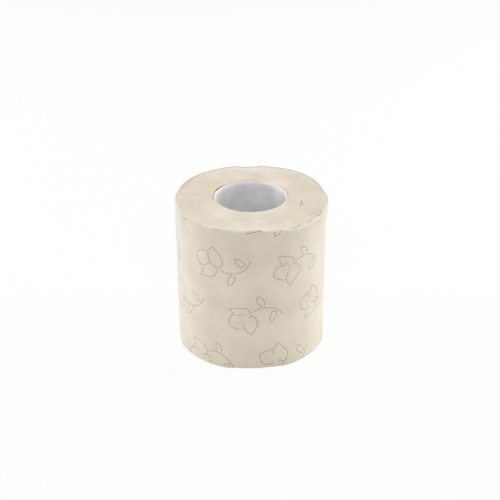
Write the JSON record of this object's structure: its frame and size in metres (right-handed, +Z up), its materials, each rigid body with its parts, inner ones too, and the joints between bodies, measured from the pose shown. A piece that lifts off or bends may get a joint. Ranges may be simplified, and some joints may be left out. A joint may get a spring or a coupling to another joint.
{
  "type": "toilet paper roll",
  "caption": "Full roll of soft bathroom paper with a small embossed and printed flower ornament, wound in a spiral on an open board tube, standing on its end.",
  "frame": {"origin": "on the axis of the core, in the plane of the lower end face that the roll stands on", "axes": "+Z up along the roll's axis; -Y faces the viewer; the free end of the paper is at the back, towards +Y"},
  "size_m": [0.0946, 0.0949, 0.096],
  "materials": {
    "tissue": "soft matte tissue, warm cream white, finely embossed",
    "core_board": "matte grey white board"
  },
  "bodies": {
    "root": {"wound_paper": "tissue", "core_tube": "core_board"}
  },
  "joints": []
}
